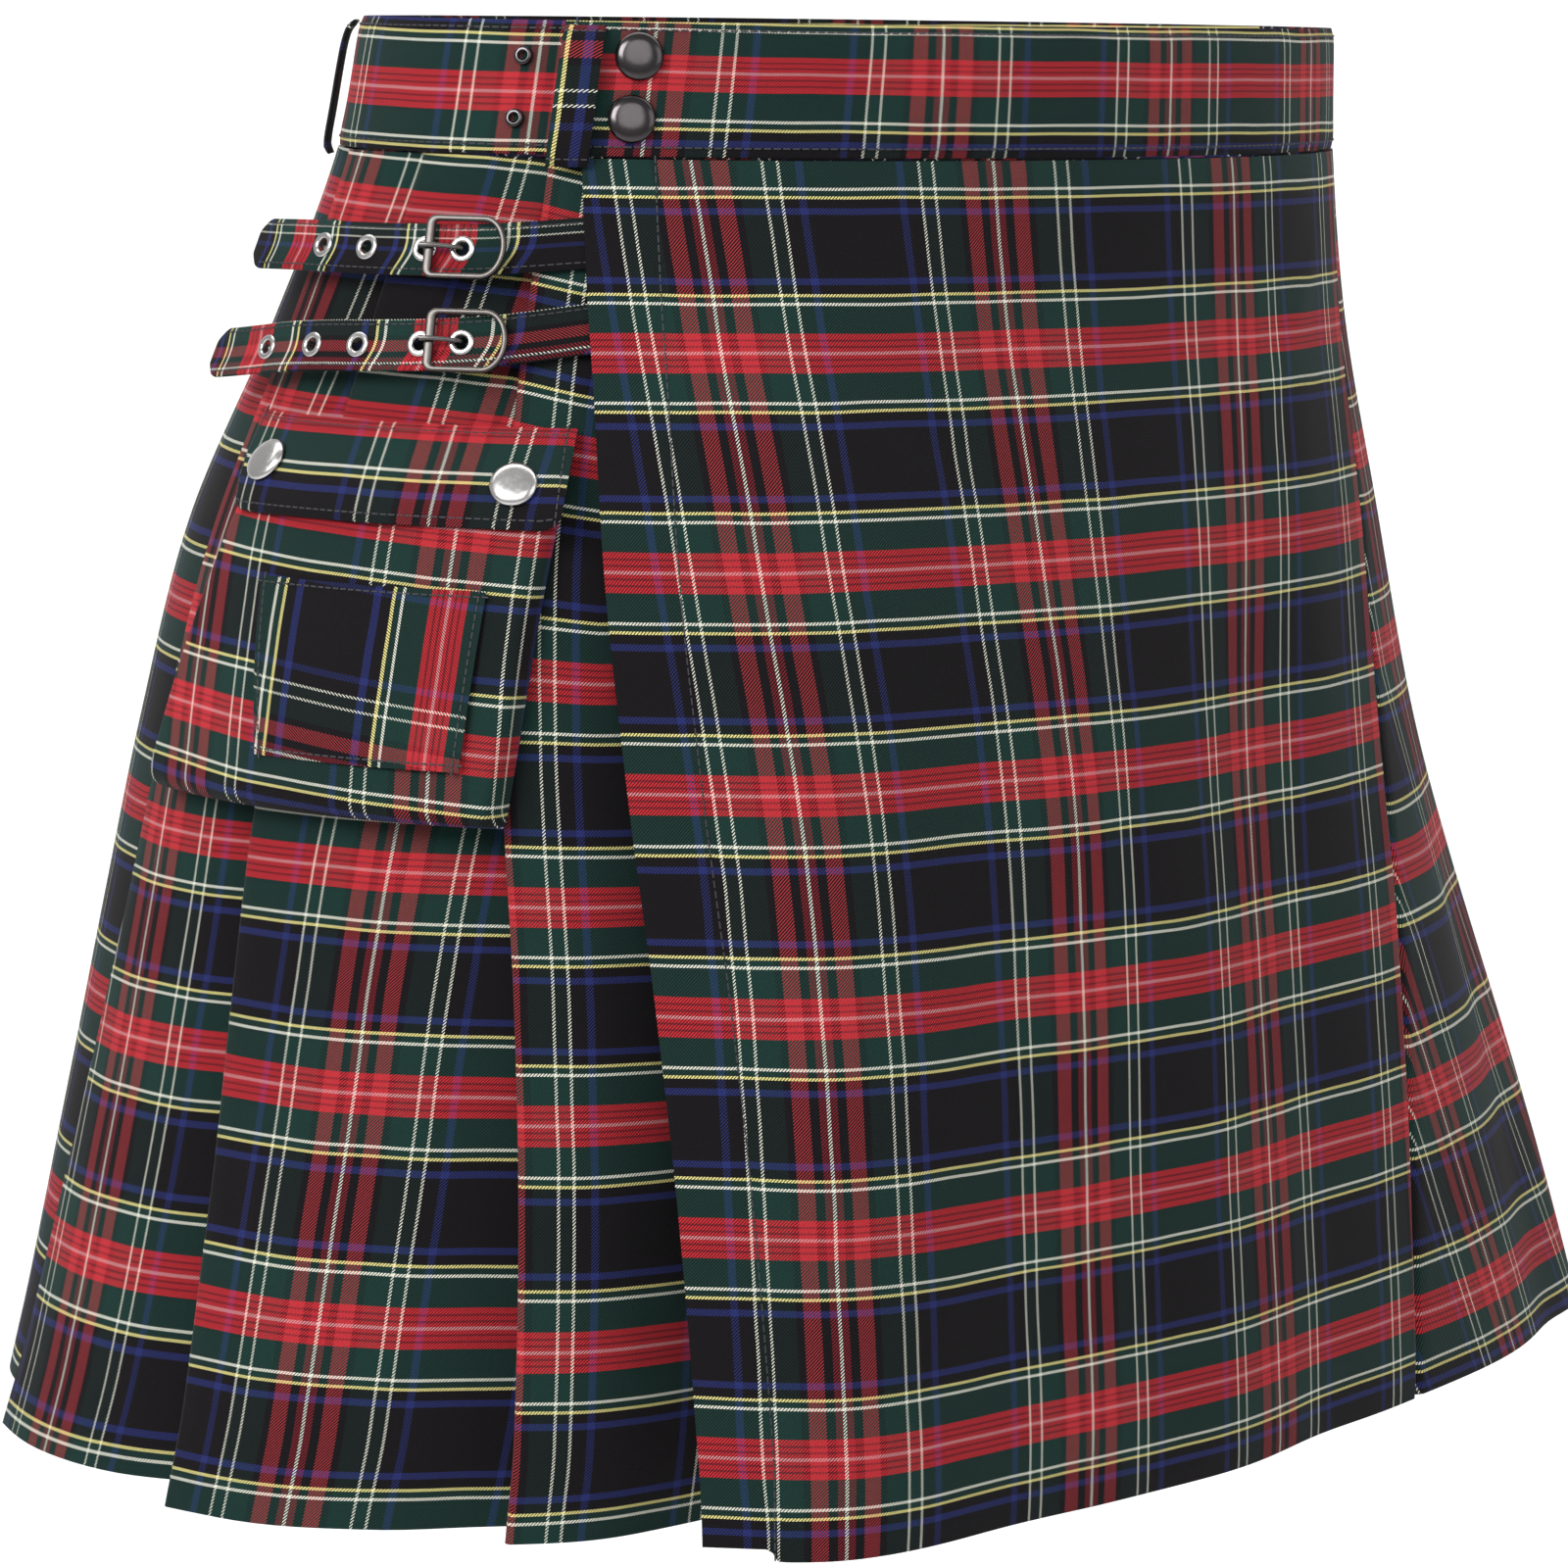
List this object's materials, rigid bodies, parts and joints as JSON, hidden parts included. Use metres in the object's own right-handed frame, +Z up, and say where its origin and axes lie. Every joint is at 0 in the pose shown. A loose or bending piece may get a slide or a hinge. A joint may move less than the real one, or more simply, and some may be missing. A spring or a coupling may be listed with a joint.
{
  "type": "utility kilt",
  "caption": "Hollow, knee-length wrap skirt of pleated tartan cloth with a waistband, a flat apron front, buckled straps at the hip and a bellows pocket with a snapped flap.",
  "frame": {"origin": "middle of the waistband's height, on the upright axis of the waist, where the wearer holds the kilt up", "axes": "+Z up, -Y the way the wearer faces, +X the wearer's left"},
  "size_m": [0.6647, 0.4886, 0.4981],
  "materials": {
    "tartan_cloth": "woven tartan, black ground with red, green, blue, white and yellow",
    "dark_metal": "dark nickel, polished",
    "bright_metal": "nickel, polished"
  },
  "bodies": {
    "root": {"belt_loop_1": "tartan_cloth", "belt_loop_2": "tartan_cloth", "belt_loop_3": "tartan_cloth", "belt_loop_4": "tartan_cloth", "buckle_lower": "bright_metal", "buckle_upper": "bright_metal", "eyelet_lower_1": "bright_metal", "eyelet_lower_2": "bright_metal", "eyelet_lower_3": "bright_metal", "eyelet_lower_4": "bright_metal", "eyelet_lower_5": "bright_metal", "eyelet_upper_1": "bright_metal", "eyelet_upper_2": "bright_metal", "eyelet_upper_3": "bright_metal", "eyelet_upper_4": "bright_metal", "flap_snap_1": "bright_metal", "flap_snap_2": "bright_metal", "front_apron": "tartan_cloth", "pleats_back": "tartan_cloth", "pleats_left": "tartan_cloth", "pleats_right": "tartan_cloth", "pocket_bag": "tartan_cloth", "pocket_flap": "tartan_cloth", "pocket_patch": "tartan_cloth", "prong_lower": "dark_metal", "prong_upper": "dark_metal", "strap_lower": "tartan_cloth", "strap_upper": "tartan_cloth", "under_apron": "tartan_cloth", "waist_snap_1": "dark_metal", "waist_snap_2": "dark_metal", "waist_stud_1": "dark_metal", "waist_stud_2": "dark_metal", "waistband": "tartan_cloth"}
  },
  "joints": []
}
